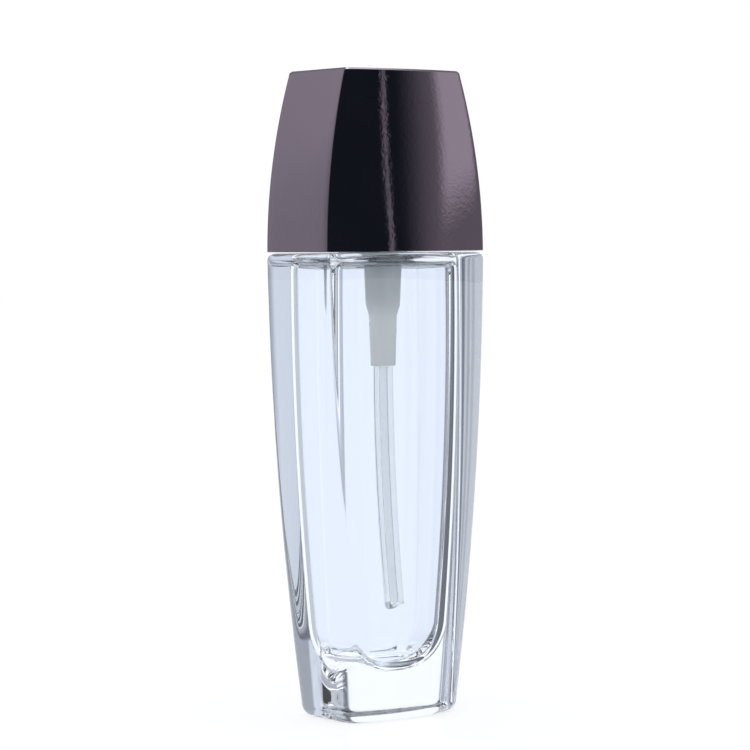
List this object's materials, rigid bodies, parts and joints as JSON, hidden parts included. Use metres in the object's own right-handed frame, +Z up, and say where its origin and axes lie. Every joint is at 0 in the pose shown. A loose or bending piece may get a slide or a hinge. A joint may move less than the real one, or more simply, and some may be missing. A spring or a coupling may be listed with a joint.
{
  "type": "aftershave bottle",
  "caption": "Heavy clear glass bottle with bowed front and back, a screwed-on treatment pump with a bent dip tube, and a metallised pull-off cap.",
  "frame": {"origin": "centre of the bottle's footprint, on the plane that it stands on", "axes": "+Z up through the neck and cap, +X along the width, -Y out of the front face, where the spout points"},
  "size_m": [0.0426, 0.0278, 0.14],
  "materials": {
    "clear_glass": "clear, polished",
    "plated_shell": "dark violet-grey vacuum metallised plastic, glossy",
    "plated_trim": "dark violet-grey anodised, glossy",
    "white_plastic": "moulded polypropylene",
    "natural_plastic": "translucent natural polypropylene",
    "tubing": "translucent polyethylene tube",
    "gasket": "soft polyethylene foam",
    "spring_steel": "drawn stainless wire",
    "ball_steel": "polished stainless steel"
  },
  "bodies": {
    "bottle": {"glass_bottle": "clear_glass"},
    "pump": {"pump_housing": "natural_plastic", "pump_turret": "white_plastic", "neck_gasket": "gasket", "dip_tube": "tubing", "return_spring": "spring_steel"},
    "collar": {"screw_collar": "white_plastic", "collar_sheath": "plated_trim"},
    "overcap": {"overcap_shell": "plated_shell", "overcap_liner": "white_plastic"},
    "plunger": {"pump_stem": "white_plastic", "valve_pin": "natural_plastic"},
    "button": {"button_core": "white_plastic", "button_shell": "plated_trim", "nozzle_insert": "natural_plastic"},
    "piston": {"piston": "natural_plastic"},
    "ball": {"inlet_ball": "ball_steel"}
  },
  "joints": [
    {"name": "collar_turn", "type": "hinge", "parent": "pump", "child": "collar", "pos_m": [0, 0, 0.108], "axis": [0, 0, 1], "range_deg": [0, 540]},
    {"name": "pump_lift", "type": "slide", "parent": "bottle", "child": "pump", "axis": [0, 0, 1], "range_m": [0, 0.0048]},
    {"name": "cap_lift", "type": "slide", "parent": "collar", "child": "overcap", "axis": [0, 0, 1], "range_m": [0, 0.045]},
    {"name": "pump_press", "type": "slide", "parent": "pump", "child": "plunger", "axis": [0, 0, 1], "range_m": [-0.005, 0], "stiffness_N_per_m": 1500, "springref_m": 0.003, "deforming": ["return_spring"]},
    {"name": "head_turn", "type": "hinge", "parent": "plunger", "child": "button", "pos_m": [0, 0, 0.125], "axis": [0, 0, 1], "continuous": true},
    {"name": "piston_slip", "type": "slide", "parent": "plunger", "child": "piston", "axis": [0, 0, 1], "range_m": [0, 0.0008]},
    {"name": "ball_lift", "type": "slide", "parent": "pump", "child": "ball", "axis": [0, 0, 1], "range_m": [0, 0.0009]}
  ],
  "couplings": [
    {"joint": "pump_lift", "follows": "collar_turn", "m_per_rad": 0.00050532}
  ]
}
